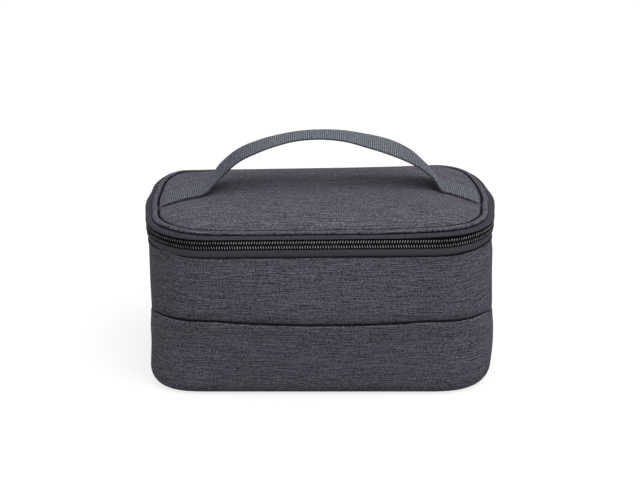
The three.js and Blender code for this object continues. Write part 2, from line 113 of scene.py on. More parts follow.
CENTRE_X = HALF_WIDTH - CORNER
CENTRE_Y = HALF_DEPTH - CORNER
QUARTER = CORNER * pi / 2
HALF_ROUND = 2 * CENTRE_X + 2 * CENTRE_Y + 2 * QUARTER
ZIP_HALF = CENTRE_X + 2 * CENTRE_Y + QUARTER + CORNER * ZIP_END


# The outline of the wall and the soft form

def wall_frame(point):
    """The point on the box of corner centres nearest to a point near the wall, and the way outwards."""
    x = max(-CENTRE_X, min(CENTRE_X, point.x))
    y = max(-CENTRE_Y, min(CENTRE_Y, point.y))
    centre = Vector((x, y, 0))
    return centre, (Vector((point.x, point.y, 0)) - centre).normalized()


def station(length):
    """The same pair at a signed length along the outline from the middle of the front, right positive."""
    side = copysign(1, length)
    rest = abs(length)
    if rest <= CENTRE_X:
        return Vector((length, -CENTRE_Y, 0)), Vector((0, -1, 0))
    rest -= CENTRE_X
    if rest <= QUARTER:
        angle = rest / CORNER
        return Vector((side * CENTRE_X, -CENTRE_Y, 0)), Vector((side * sin(angle), -cos(angle), 0))
    rest -= QUARTER
    if rest <= 2 * CENTRE_Y:
        return Vector((side * CENTRE_X, rest - CENTRE_Y, 0)), Vector((side, 0, 0))
    rest -= 2 * CENTRE_Y
    if rest <= QUARTER:
        angle = rest / CORNER
        return Vector((side * CENTRE_X, CENTRE_Y, 0)), Vector((side * cos(angle), sin(angle), 0))
    return Vector((side * (CENTRE_X - rest + QUARTER), CENTRE_Y, 0)), Vector((0, 1, 0))


def length_at(point, side):
    """Signed length along the outline to a point; side tells the halves apart where they meet at the back."""
    x = abs(point.x)
    if x <= CENTRE_X:
        if point.y < 0:
            return point.x
        return side * (HALF_ROUND - x)
    if point.y < -CENTRE_Y:
        return side * (CENTRE_X + CORNER * atan2(x - CENTRE_X, -CENTRE_Y - point.y))
    if point.y <= CENTRE_Y:
        return side * (CENTRE_X + QUARTER + CENTRE_Y + point.y)
    return side * (CENTRE_X + QUARTER + 2 * CENTRE_Y + CORNER * atan2(point.y - CENTRE_Y, x - CENTRE_X))


def bell(distance, width):
    """A soft hump, 1 in its middle and fading over the width."""
    return exp(-(distance / width) ** 2)


def ramp(value, low, high):
    """Rises softly from 0 at low to 1 at high."""
    share = max(0, min(1, (value - low) / (high - low)))
    return share * share * (3 - 2 * share)


def rim_fill(centre, outwards, z):
    """How far the outline departs from its plain round. Corners fill out at the base, the right front one
    less. At the rim the sides bow outwards, the right rear corner is flat and the left rear one full."""
    square = (2 * outwards.x * outwards.y) ** 2
    corner = 0.0028 if outwards.y < 0 < outwards.x else 0.0044
    bow = 0.0023 * outwards.x ** 2 * bell(centre.y, 0.022) * ramp(z, 0.092, 0.104)
    angle = degrees(atan2(outwards.y, abs(outwards.x)))
    depth = centre.y + CORNER * outwards.y
    rear = 0.0016 * bell(angle - 50, 14) if outwards.x < 0 else -0.0020 * bell(depth - 0.035, 0.015)
    return square * corner * (1 - ramp(z, 0.012, 0.065)) + bow + rear * ramp(z, 0.06, WALL_TOP)


def fullness(centre, outwards, z):
    """How far the padding pushes the wall outwards there: the corners, the belly of the front, the fuller
    right side and a soft unevenness."""
    filled = rim_fill(centre, outwards, z)
    if z <= 0 or z >= WALL_TOP:
        return filled
    rise = sin(pi * z / WALL_TOP)
    place = centre + CORNER * outwards
    belly = FRONT_BULGE * max(0, -outwards.y) * cos(pi * place.x / (2 * HALF_WIDTH)) ** 2
    lopsided = 0.0011 * max(0, outwards.x) * ramp(z, 0, 0.03) * (1 - ramp(z, 0.085, 0.097))
    lopsided += outwards.x * (0.0006 * bell(z - 0.042, 0.020) + 0.0007 * bell(z - 0.020, 0.016))
    place.z = z
    uneven = 0.0005 * noise.noise(place / 0.038) + 0.00025 * noise.noise(place / 0.016)
    return filled + rise * (belly + uneven) + lopsided


def lean(place):
    """How much higher the closed rim stands there. All of it rises to the right along the front. The lid's
    edge above the zip also sags along the back and puffs up at its corners."""
    back = ramp(place.y, -0.01, 0.05)
    above_zip = ramp(place.z, SPLIT_Z + COIL_HALF, SEAM_Z)
    level = (1 - back) * 0.010 * place.x + above_zip * back * (0.017 * place.x - 0.0010)
    rear = 0.0015 * bell(place.x - 0.088, 0.020) + 0.0026 * bell(place.x + 0.104, 0.018)
    front = 0.0019 * bell(place.x - 0.078, 0.022) + 0.0014 * bell(place.x + 0.090, 0.022)
    puff = rear * bell(place.y - 0.050, 0.030) + front * bell(place.y + 0.045, 0.030)
    return level * ramp(place.z, 0.06, WALL_TOP) + above_zip * puff


def on_wall(centre, outwards, offset, z):
    """A point of a layer that lies at an offset outside the outline."""
    place = centre + (CORNER + offset) * outwards
    place += fullness(centre, outwards, z) * outwards
    place.z = z
    place.z += lean(place)
    return place


# Modelling tools

def start(name, primitive, **settings):
    """Adds a primitive with everything else deselected and opens it in edit mode."""
    bpy.ops.object.select_all(action="DESELECT")
    primitive(**settings)
    piece = bpy.context.object
    piece.name = name
    piece.data.name = name
    bpy.ops.object.mode_set(mode="EDIT")
    return piece


def choose(piece, wanted, kind="verts"):
    """Selects the vertices, edges or faces that the test picks, and nothing else."""
    bpy.ops.mesh.select_all(action="DESELECT")
    mesh = bmesh.from_edit_mesh(piece.data)
    for element in getattr(mesh, kind):
        if wanted(element):
            element.select_set(True)
    mesh.select_flush_mode()
    bmesh.update_edit_mesh(piece.data)


def place_chosen(piece, where):
    """Moves each selected vertex to where the function says."""
    mesh = bmesh.from_edit_mesh(piece.data)
    for vertex in mesh.verts:
        if vertex.select:
            vertex.co = where(vertex.co)
    bmesh.update_edit_mesh(piece.data)


def draw_up(name, profile):
    """A plane rounded to the bag's outline, opened, and drawn through rings of (offset, height)."""
    piece = start(name, bpy.ops.mesh.primitive_plane_add, size=2)
    bpy.ops.transform.resize(value=(HALF_WIDTH, HALF_DEPTH, 1))
    bpy.ops.mesh.bevel(offset=CORNER, segments=CORNER_STEPS, affect="VERTICES")
    bpy.ops.mesh.delete(type="ONLY_FACE")
    for run in (2 * CENTRE_X, 2 * CENTRE_Y):
        choose(piece, lambda edge: edge.calc_length() > 0.9 * run, "edges")
        bpy.ops.mesh.subdivide(number_cuts=round(run / STEP) - 1)
    bpy.ops.mesh.select_all(action="SELECT")
    for level, (offset, height) in enumerate(profile):
        if level:
            bpy.ops.mesh.extrude_region_move()
        place_chosen(piece, lambda point: on_wall(*wall_frame(point), offset, height))
    return piece


def climb(offset, low, high):
    """Even steps of a straight run up the wall."""
    steps = max(1, round((high - low) / STEP))
    return [(offset, low + (high - low) * i / steps) for i in range(steps + 1)]


def roll(offset, height, radius, begin, end, steps=6):
    """Steps of a rounded turn about a point; 0 degrees points outwards and 90 up."""
    angles = [radians(begin + (end - begin) * i / steps) for i in range(steps + 1)]
    return [(offset + radius * cos(angle), height + radius * sin(angle)) for angle in angles]


def cut_away(piece, unwanted):
    """Deletes the faces whose middle the test picks."""
    choose(piece, lambda face: unwanted(face.calc_center_median()), "faces")
    bpy.ops.mesh.delete(type="FACE")


def leave_edit(piece):
    """Goes back to object mode where the piece is still open."""
    if piece.mode == "EDIT":
        bpy.ops.object.mode_set(mode="OBJECT")


def modify(piece, kind, **settings):
    """Adds one modifier and applies it."""
    leave_edit(piece)
    bpy.context.view_layer.objects.active = piece
    modifier = piece.modifiers.new(kind.title(), kind)
    for name, value in settings.items():
        setattr(modifier, name, value)
    bpy.ops.object.modifier_apply(modifier=modifier.name)


def thicken(piece, thickness):
    """Gives a shell its thickness, on its inner side."""
    modify(piece, "SOLIDIFY", thickness=thickness, offset=-1)


def lay_cloth(piece, flat):
    """Writes each corner's place on the flat cloth, in metres, to the piece's own UV map."""
    leave_edit(piece)
    cloth = piece.data.uv_layers.get("cloth") or piece.data.uv_layers.new(name="cloth")
    for face in piece.data.polygons:
        side = copysign(1, face.center.x)
        for corner in face.loop_indices:
            point = piece.data.vertices[piece.data.loops[corner].vertex_index].co
            cloth.data[corner].uv = flat(point, side)


def mark_seam_shade(piece, distance):
    """Writes how near each point lies to a seam or hem, from 1 on it to 0 at SEAM_REACH, for the cloth's
    painted seam shade to read."""
    leave_edit(piece)
    # The seam attribute carries the painted seam shade.
    near = piece.data.attributes.new("seam", "FLOAT", "POINT")
    for vertex in piece.data.vertices:
        near.data[vertex.index].value = max(0, 1 - distance(vertex.co) / SEAM_REACH)


def along_and_up(point, side):
    """A place on cloth that stands: along the outline, and up."""
    return length_at(point, side), point.z


def along_and_across(point, side):
    """A place on tape that lies: along the outline, and outwards."""
    centre, outwards = wall_frame(point)
    return length_at(point, side), (point - centre).dot(outwards)


def seen_from_above(point, _side):
    """A place on cloth that lies flat."""
    return point.x, point.y


def dress(piece, material, body=None, smooth=50):
    """Shades a finished piece, gives it its material and fixes it to its body."""
    leave_edit(piece)
    bpy.ops.object.select_all(action="DESELECT")
    piece.select_set(True)
    bpy.context.view_layer.objects.active = piece
    bpy.ops.object.shade_smooth_by_angle(angle=radians(smooth))
    piece.data.materials.clear()
    piece.data.materials.append(material)
    if body:
        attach(piece, body)
    return piece


# Materials

def colour(code):
    """An sRGB hex value as linear RGBA."""
    shares = [int(code[i:i + 2], 16) / 255 for i in (1, 3, 5)]
    return [s / 12.92 if s <= 0.04045 else ((s + 0.055) / 1.055) ** 2.4 for s in shares] + [1]


def add(tree, kind, inputs=None, **settings):
    """Adds one node, with its settings, and with each input set to a value or linked to a socket."""
    node = tree.nodes.new(kind)
    for name, value in settings.items():
        setattr(node, name, value)
    for key, value in (inputs or {}).items():
        if isinstance(value, bpy.types.NodeSocket):
            tree.links.new(value, node.inputs[key])
        else:
            node.inputs[key].default_value = value
    return node


def new_material(name):
    """An empty material with its node tree and its shader."""
    material = bpy.data.materials.new(name)
    material.use_nodes = True
    tree = material.node_tree
    return material, tree, tree.nodes["Principled BSDF"]


def work(tree, operation, *values, **settings):
    """The result of one step of arithmetic on numbers and sockets."""
    return add(tree, "ShaderNodeMath", dict(enumerate(values)), operation=operation, **settings).outputs[0]


def between(tree, value, low, high, begin=0, end=1):
    """A value's place from low to high, given as a number from begin to end and held at both."""
    return add(tree, "ShaderNodeMapRange", {"Value": value, 1: low, 2: high, 3: begin, 4: end}).outputs[0]


def blended(tree, share, first, second):
    """The colour that lies a share of the way from the first to the second."""
    return add(tree, "ShaderNodeMix", {0: share, 6: first, 7: second}, data_type="RGBA").outputs[2]


def scaled(tree, tone, share):
    """The colour, darkened to a share of itself."""
    return add(tree, "ShaderNodeVectorMath", {0: tone, "Scale": share}, operation="SCALE").outputs[0]


def tone_ramp(tree, value, *stops):
    """The colour for a value, through stops that each have a position and a colour."""
    node = add(tree, "ShaderNodeValToRGB", {"Fac": value})
    elements = node.color_ramp.elements
    for element, (position, code) in zip(elements, (stops[0], stops[-1])):
        element.position = position
        element.color = colour(code)
    for position, code in stops[1:-1]:
        elements.new(position).color = colour(code)
    return node.outputs["Color"]


def speckle(tree, place, detail, roughness=0.5):
    """Noise on the flat cloth, about one spot to a unit."""
    inputs = {"Vector": place, "Scale": 1, "Detail": detail, "Roughness": roughness}
    return add(tree, "ShaderNodeTexNoise", inputs, noise_dimensions="2D").outputs["Fac"]


def grit(tree, size, detail):
    """Noise in the piece's own space, about one spot to a size."""
    place = add(tree, "ShaderNodeTexCoord").outputs["Object"]
    inputs = {"Vector": place, "Scale": 1 / size, "Detail": detail}
    return add(tree, "ShaderNodeTexNoise", inputs).outputs["Fac"]


def surface(tree, shader, tone, roughness, specular, height=None, strength=0.3, depth=0.0003):
    """Gives the shader its colour and gloss, and a fine relief where there is a height to read."""
    tree.links.new(tone, shader.inputs["Base Color"])
    shader.inputs["Roughness"].default_value = roughness
    shader.inputs["Specular IOR Level"].default_value = specular
    if height is not None:
        bump = add(tree, "ShaderNodeBump", {"Height": height, "Strength": strength, "Distance": depth})
        tree.links.new(bump.outputs[0], shader.inputs["Normal"])


def painted_seam_shade(tree, tone, least):
    """Painted shade: the colour, darkened to a share of itself within a millimetre of the seams and hems
    marked on the piece, where shade falls in the crease."""
    # Painted shade, read from the seam attribute.
    seam = add(tree, "ShaderNodeAttribute", attribute_name="seam").outputs["Fac"]
    pale_from = 1 - 0.0009 / SEAM_REACH
    dark_from = 1 - 0.0002 / SEAM_REACH
    return scaled(tree, tone, between(tree, seam, pale_from, dark_from, 1, least))


def melange_polyester():
    """Polyester woven from mixed dark and pale yarns: each row of the weft changes its grey-violet along
    its length, so that fine level streaks show, and the crossing warp breaks them up. Half the streaks of
    the next row are taken off each row, which keeps rows apart. Painted shade darkens the cloth within a
    millimetre of its seams and hems."""
    yarn = 0.00048
    dash = 0.014
    warp = 0.00055
    row_apart = 7.37
    material, tree, shader = new_material("melange polyester")
    cloth = add(tree, "ShaderNodeUVMap", uv_map="cloth").outputs["UV"]
    place = add(tree, "ShaderNodeSeparateXYZ", {0: cloth}).outputs
    row = work(tree, "FLOOR", work(tree, "MULTIPLY", place["Y"], 1 / yarn))

    def row_noise(length, rows_on, detail, roughness=0.5):
        """Noise along each row, or the noise of a row further on."""
        run = work(tree, "MULTIPLY", place["X"], 1 / length)
        level = work(tree, "MULTIPLY_ADD", row, row_apart, row_apart * rows_on)
        spot = add(tree, "ShaderNodeCombineXYZ", {"X": run, "Y": level})
        return speckle(tree, spot.outputs[0], detail, roughness)
    streaks = row_noise(dash, 0, 3, 0.6)
    next_streaks = row_noise(dash, 1, 3, 0.6)
    apart = work(tree, "MULTIPLY_ADD", next_streaks, -0.5, streaks)
    crossing = row_noise(warp, 1, 0)
    mixed = add(tree, "ShaderNodeMix", {0: 0.47, 2: apart, 3: crossing}).outputs[0]
    tone = tone_ramp(tree, mixed, (0.2425, "#322F39"), (0.3675, "#5B5862"), (0.4925, "#827E8A"))
    surface(tree, shader, painted_seam_shade(tree, tone, 0.2), 0.92, 0.09, mixed)
    return material


def plain_cloth(name, base, shade):
    """Close-woven plain cloth: even colour with a faint grain of threads, and painted shade beside a coil or
    a seam.
    """
    thread = 0.0009
    material, tree, shader = new_material(name)
    cloth = add(tree, "ShaderNodeUVMap", uv_map="cloth").outputs["UV"]
    threads = add(tree, "ShaderNodeMapping", {"Vector": cloth, "Scale": (1 / thread, 1 / thread, 1)})
    grain = speckle(tree, threads.outputs[0], 1)
    tone = blended(tree, grain, colour(shade), colour(base))
    surface(tree, shader, painted_seam_shade(tree, tone, 0.05), 0.8, 0.12, grain)
    return material


def polyester_webbing():
    """Woven strap: blue-grey, with close ribs across its width, with painted shade in the furrows between
    them, notched painted shade along its selvedges, and painted shade tinted violet towards its sewn ends,
    the right one less."""
    thread = 0.0009
    thread_run = 0.0020
    selvedge = STRAP_WIDTH / 2
    # Painted shade, tinted violet, for the sewn ends.
    end_shade_colour = (0.75, 0.715, 0.775, 1)
    material, tree, shader = new_material("polyester webbing")
    cloth = add(tree, "ShaderNodeUVMap", uv_map="cloth").outputs["UV"]
    place = add(tree, "ShaderNodeSeparateXYZ", {0: cloth}).outputs
    wave = work(tree, "COSINE", work(tree, "MULTIPLY", place["X"], 2 * pi / RIB))
    threads = add(tree, "ShaderNodeMapping", {"Vector": cloth, "Scale": (1 / thread_run, 1 / thread, 1)})
    grain = speckle(tree, threads.outputs[0], 2)
    # Painted shade in the furrows between the ribs.
    ribbed = work(tree, "MULTIPLY_ADD", wave, 0.22, grain)
    tone = tone_ramp(tree, ribbed, (0.22, "#3A3E46"), (0.78, "#8F959E"))
    # Painted shade along both edges of the strap, notched by the ribs.
    notched_shade = work(tree, "MULTIPLY_ADD", wave, 0.25, 0.4)
    across = work(tree, "ABSOLUTE", place["Y"])
    shaded = scaled(tree, tone, between(tree, across, selvedge - 0.0012, selvedge, 1, notched_shade))
    # Painted shade towards the sewn ends, where the strap slopes away from the light; less on the right.
    left = between(tree, place["X"], -0.030, -0.060)
    right = between(tree, place["X"], 0.040, 0.072, 0, 0.75)
    end_shade = blended(tree, work(tree, "ADD", left, right), (1, 1, 1, 1), end_shade_colour)
    tinted = add(tree, "ShaderNodeVectorMath", {0: shaded, 1: end_shade}, operation="MULTIPLY")
    surface(tree, shader, tinted.outputs[0], 0.8, 0.1, grain)
    return material


def nylon_coil():
    """Drawn nylon wire, near black, with a pale painted highlight along the crest of each turn."""
    material, tree, shader = new_material("nylon coil")
    painted_glint = add(tree, "ShaderNodeAttribute", attribute_name="painted_glint").outputs["Fac"]
    broken_glint = work(tree, "MULTIPLY", painted_glint, grit(tree, 0.003, 1))
    glint_share = work(tree, "MULTIPLY", broken_glint, 2.4, use_clamp=True)
    # The pale colour is the painted highlight on the crests, broken up by fine noise.
    surface(tree, shader, blended(tree, glint_share, colour("#020103"), colour("#CCC8D0")), 0.4, 0.05)
    return material


def solid_look(name, base, shade, spot, roughness, metallic=0.0):
    """Moulded, foamed or cast stuff: one colour with a fine unevenness."""
    material, tree, shader = new_material(name)
    spots = grit(tree, spot, 2)
    tone = blended(tree, spots, colour(shade), colour(base))
    surface(tree, shader, tone, roughness, 0.5, spots, 0.15, 0.0002)
    shader.inputs["Metallic"].default_value = metallic
    return material


melange = melange_polyester()
# Two tones of one zip tape: the lid's half is darker, as painted shade, and the body's half is lighter, as
# painted light where the coil shades it; the bindings share the lighter tone.
tape_cloth = plain_cloth("woven zip tape", "#66616D", "#3B3641")
shaded_tape_cloth = plain_cloth("woven zip tape in painted shade", "#524D59", "#2F2C36")
webbing_cloth = polyester_webbing()
coil_nylon = nylon_coil()
foam_stuff = solid_look("closed cell foam", "#E2E2DF", "#CFCFCB", 0.0015, 0.95)
liner_film = solid_look("silver liner film", "#C3C6CA", "#B2B5B9", 0.012, 0.35, 0.3)
zinc_paint = solid_look("painted zinc", "#37373C", "#2B2B2F", 0.001, 0.35, 0.6)


# Body of the bag

def pocket_edge(along):
    """Height of the pocket's hem: it lifts a little before the front corners and hangs lower round them."""
    away = abs(along)
    drop = 0.0024 * ramp(away, 0.085, 0.150) + 0.0050 * ramp(away, 0.108, 0.135)
    return POCKET_TOP + 0.0013 * bell(away - 0.070, 0.020) - drop


def seam_wave(along):
    """How much higher the zip seam runs where it ripples at the left front corner."""
    return 0.0019 * bell(along + 0.101, 0.012)


def crinkle(point):
    """How far the thin liner film stands off its foam: up to a millimetre, in sharp shallow folds."""
    broad = 1 - 2 * abs(noise.noise(point / 0.024))
    fine = 1 - 2 * abs(noise.noise(point / 0.010))
    return max(0, 0.0007 * broad + 0.0003 * fine)


def outer_wall():
    """The wall: rolled under at the base, drawn up to the zip seam, its top edge turned in."""
    turn = 0.0008
    profile = roll(-BASE_ROLL, BASE_LIFT + BASE_ROLL, BASE_ROLL, -90, 0, 9)
    profile += climb(0, BASE_LIFT + BASE_ROLL, WALL_TOP - 0.003)[1:]
    profile += [(0.0003, WALL_TOP - 2 * turn)]
    profile += roll(-turn / 2, WALL_TOP - turn, turn, 0, 150, 5)
    piece = draw_up("wall", profile)
    bpy.ops.mesh.select_all(action="SELECT")

    def settled(point):
        """Tucked in under the pocket's hem, lower at the sides, and rippled along the zip seam."""
        outwards = wall_frame(point)[1]
        along = length_at(point, copysign(1, point.x))
        hem = point.z - pocket_edge(along) + 0.003 * outwards.x ** 2
        tuck = POCKET_TUCK * bell(hem, 0.0035) * (1 - ramp(point.y, -0.01, POCKET_END))
        wave = seam_wave(along) * ramp(point.z, WALL_TOP - 0.012, WALL_TOP)
        return point - tuck * outwards + Vector((0, 0, wave))
    place_chosen(piece, settled)
    thicken(piece, FABRIC)

    def to_seam(point):
        """How far the zip seam or, where the pocket reaches, its hem lies from the point."""
        along = length_at(point, copysign(1, point.x))
        hem = point.z - pocket_edge(along) if point.y < POCKET_END - 0.003 else 1
        top = WALL_TOP + lean(point) + seam_wave(along) + 0.0003 - point.z
        return min(hem, top)
    # Painted shade along the zip seam and in the crevice above the pocket's hem.
    mark_seam_shade(piece, to_seam)
    lay_cloth(piece, along_and_up)
    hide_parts("outer_wall")
    return dress(piece, melange, "bag_body")


def front_pocket():
    """The slip pocket: a second layer over the lower front. Its hemmed top stands a little open in front and
    lies close at the sides."""
    proud = FABRIC + 0.0002
    turn = 0.0007
    opening = 0.0016
    closing = 0.0008
    profile = roll(-BASE_ROLL, BASE_LIFT + BASE_ROLL, BASE_ROLL + proud, -60, 0, 6)
    profile += climb(proud, BASE_LIFT + BASE_ROLL, POCKET_TOP - 0.012)[1:]
    profile += [(proud, POCKET_TOP - height) for height in (0.0095, 0.0070, 0.0045, 0.0025)]
    profile += roll(proud - turn, POCKET_TOP - turn, turn, 0, 170, 6)
    profile += [(proud - 2 * turn, POCKET_TOP - 0.004), (proud - 2.2 * turn, POCKET_TOP - 0.008)]
    piece = draw_up("slip_pocket", profile)
    bpy.ops.mesh.select_all(action="SELECT")

    def settled(point):
        """Opened or closed towards its top, and let down to the line of its hem."""
        outwards = wall_frame(point)[1]
        along = length_at(point, copysign(1, point.x))
        stand = opening * max(0, -outwards.y) ** 2 - closing * outwards.x ** 2
        stand *= ramp(point.z, POCKET_TOP - 0.014, POCKET_TOP)
        drop = (POCKET_TOP - pocket_edge(along)) * ramp(point.z, 0.02, POCKET_TOP)
        return point + stand * outwards - Vector((0, 0, drop))
    place_chosen(piece, settled)
    cut_away(piece, lambda middle: middle.y > POCKET_END)
    thicken(piece, TURNED_FABRIC)
    lay_cloth(piece, along_and_up)
    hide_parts("front_pocket")
    return dress(piece, melange, "bag_body")


def base_panel():
    """The panel the bag stands on, its edge sewn into the turn of the wall."""
    edge = -BASE_ROLL
    piece = draw_up("base", [(edge + 0.0006, 0.0009), (edge, 0.0003), (edge - 0.001, 0)])
    bpy.ops.mesh.edge_face_add()
    bpy.ops.mesh.select_all(action="SELECT")
    bpy.ops.mesh.flip_normals()
    thicken(piece, FABRIC)
    lay_cloth(piece, seen_from_above)
    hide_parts("base_panel")
    return dress(piece, melange, "bag_body")


def wall_foam():
    """The foam between wall and liner, rounded at its lower edge."""
    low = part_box("wall_foam")[0].z
    offset = -FABRIC - POCKET_TUCK - GAP
    profile = [(offset - 0.003, low), (offset - 0.001, low + 0.002)] + climb(offset, low + 0.006, LINER_TOP)
    piece = draw_up("wall_padding", profile)
    thicken(piece, FOAM - POCKET_TUCK)
    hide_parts("wall_foam")
    return dress(piece, foam_stuff, "bag_body")


def base_foam():
    """The foam slab in the base, with softened edges."""
    low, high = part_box("base_foam")
    offset = high.x - HALF_WIDTH
    profile = [(offset - 0.0060, low.z), (offset - 0.002, low.z + 0.0012), (offset, low.z + 0.003),
               (offset, high.z - 0.0006), (offset - 0.0006, high.z)]
    piece = draw_up("base_padding", profile)
    bpy.ops.mesh.edge_face_add()
    choose(piece, lambda vertex: vertex.co.z < low.z + 0.0001)
    bpy.ops.mesh.edge_face_add()
    bpy.ops.mesh.select_all(action="SELECT")
    bpy.ops.mesh.normals_make_consistent(inside=False)
    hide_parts("base_foam")
    return dress(piece, foam_stuff, "bag_body")


def liner_tub():
    """The welded liner: wall and floor in one, with a rounded foot."""
    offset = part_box("liner_tub")[1].x - HALF_WIDTH - LINER
    bottom = LINER_FLOOR + LINER
    turn = 0.004
    profile = climb(offset, bottom + turn, LINER_TOP)[::-1]
    profile += roll(offset - turn, bottom + turn, turn, 0, -90, 6)[1:]
    piece = draw_up("liner", profile)
    bpy.ops.mesh.edge_face_add()
    bpy.ops.mesh.select_all(action="SELECT")

    def crinkled(point):
        """Folded a little inwards, but not where the binding holds it."""
        outwards = wall_frame(point)[1]
        return point - crinkle(point) * (1 - ramp(point.z, LINER_TOP - 0.012, LINER_TOP)) * outwards
    place_chosen(piece, crinkled)
    thicken(piece, LINER)
    lay_cloth(piece, along_and_up)
    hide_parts("liner_tub")
    return dress(piece, liner_film, "bag_body")


def body_binding():
    """Tape folded over the raw edges of foam and liner at the mouth."""
    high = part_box("body_binding")[1]
    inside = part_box("liner_tub")[1].x - HALF_WIDTH - LINER - 0.0008
    outside = high.x - HALF_WIDTH
    turn = 0.0012
    profile = roll(outside - turn, high.z - turn, turn, 0, 90, 4)
    profile += roll(inside + turn, high.z - turn, turn, 90, 180, 4)
    profile += climb(inside, high.z - 0.008, high.z - turn)[-2::-1]
    piece = draw_up("mouth_binding", profile)
    thicken(piece, BINDING)
    lay_cloth(piece, along_and_across)
    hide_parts("body_binding")
    return dress(piece, tape_cloth, "bag_body")


# Zip

def beyond_zip(middle):
    """Whether a point lies on the back strip, past both ends of the zip."""
    return abs(length_at(middle, copysign(1, middle.x))) > ZIP_HALF


def zip_tape(name, node, body, profile, coil_reach, material):
    """One half of the zip's tape, from its seam to the line where the coils meet, with painted shade as far
    as the coil reaches. The upper half's rolled edge over the coil flattens towards the back."""
    piece = draw_up(name, profile)
    bpy.ops.mesh.select_all(action="SELECT")

    def flattened(point):
        centre, outwards = wall_frame(point)
        out = (point - centre).dot(outwards) - CORNER - fullness(centre, outwards, point.z)
        return point - max(0, out) * ramp(point.y, 0.005, 0.030) * outwards
    place_chosen(piece, flattened)
    cut_away(piece, beyond_zip)
    thicken(piece, TAPE)
    # Painted shade on the tape where the coil shades it.
    mark_seam_shade(piece, lambda point: abs(point.z - lean(point) - SPLIT_Z) - coil_reach)
    lay_cloth(piece, along_and_up)
    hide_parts(node)
    return dress(piece, material, body)


def zip_tapes():
    """Both halves, each with a trough for its coil."""
    coil_low = SPLIT_Z - COIL_HALF
    coil_high = SPLIT_Z + COIL_HALF
    lower = [(-0.0036, WALL_TOP - 0.004), (-0.0026, WALL_TOP - 0.0004), (-0.0012, WALL_TOP + 0.0004)]
    lower += [(-0.0003, WALL_TOP + 0.0014), (0, WALL_TOP + 0.0026), (0.0006, coil_low - 0.0014)]
    lower += [(0.0004, coil_low - 0.0004)]
    lower += [(-0.0004, coil_low - 0.0001), (ZIP_FACE, coil_low + 0.0002), (ZIP_FACE, SPLIT_Z - 0.0003)]
    zip_tape("lower_tape", "zip_tape_body", "bag_body", lower, COIL_HALF + 0.0001, tape_cloth)
    upper = [(ZIP_FACE, SPLIT_Z + 0.0003), (ZIP_FACE, coil_high + 0.0001), (-0.0008, coil_high + 0.0004)]
    upper += [(ROLLED_EDGE - 0.0005, coil_high + 0.0006), (ROLLED_EDGE, coil_high + 0.0010)]
    upper += [(ROLLED_EDGE - 0.0003, coil_high + 0.0014), (ROLLED_EDGE - 0.0012, coil_high + 0.0018)]
    upper += [(BORDER_OUT + 0.0004, SEAM_Z - 0.0006), (BORDER_OUT - 0.0008, SEAM_Z - 0.0008)]
    upper += [(BORDER_OUT - 0.0025, SEAM_Z - 0.0008)]
    zip_tape("upper_tape", "zip_tape_lid", "lid", upper, COIL_HALF + 0.0002, shaded_tape_cloth)


def hinge_strip():
    """The strip of fabric across the back, where the zip stops, that lets the lid swing."""
    profile = [(-0.0030, WALL_TOP - 0.004), (-0.0022, WALL_TOP - 0.001), (-0.0014, WALL_TOP + 0.001)]
    profile += climb(-0.0004, WALL_TOP + 0.003, SPLIT_Z + 0.002)
    profile += [(-0.0008, SPLIT_Z + 0.0035), (-0.0018, SPLIT_Z + 0.0047)]
    profile += [(BORDER_OUT - 0.0004, SEAM_Z - 0.0005), (BORDER_OUT - 0.002, SEAM_Z + 0.0002)]
    piece = draw_up("back_strip", profile)
    cut_away(piece, lambda middle: not beyond_zip(middle))
    thicken(piece, TAPE)
    lay_cloth(piece, along_and_up)
    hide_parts("hinge_strip")
    dress(piece, melange)
    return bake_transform(piece)


def draw_wire(name, radius, path, lead, follow, level):
    """A ring drawn through the points of a wire's path. Lead and follow are the points before and after it,
    and level is the way that one side of the ring keeps to."""
    frames = []
    for i, point in enumerate(path):
        before = path[i - 1] if i else lead
        after = path[i + 1] if i < len(path) - 1 else follow
        along = (after - before).normalized()
        first = (level - along * along.dot(level)).normalized()
        second = along.cross(first)
        frames.append(Matrix.Translation(point) @ Matrix((first, second, along)).transposed().to_4x4())
    piece = start(name, bpy.ops.mesh.primitive_circle_add, vertices=WIRE_SIDES, radius=radius)
    place_chosen(piece, lambda point: frames[0] @ point)
    for before, after in zip(frames, frames[1:]):
        bpy.ops.mesh.extrude_region_move()
        change = after @ before.inverted()
        place_chosen(piece, lambda point: change @ point)
    bpy.ops.mesh.select_all(action="SELECT")
    bpy.ops.mesh.normals_make_consistent(inside=False)
    return piece


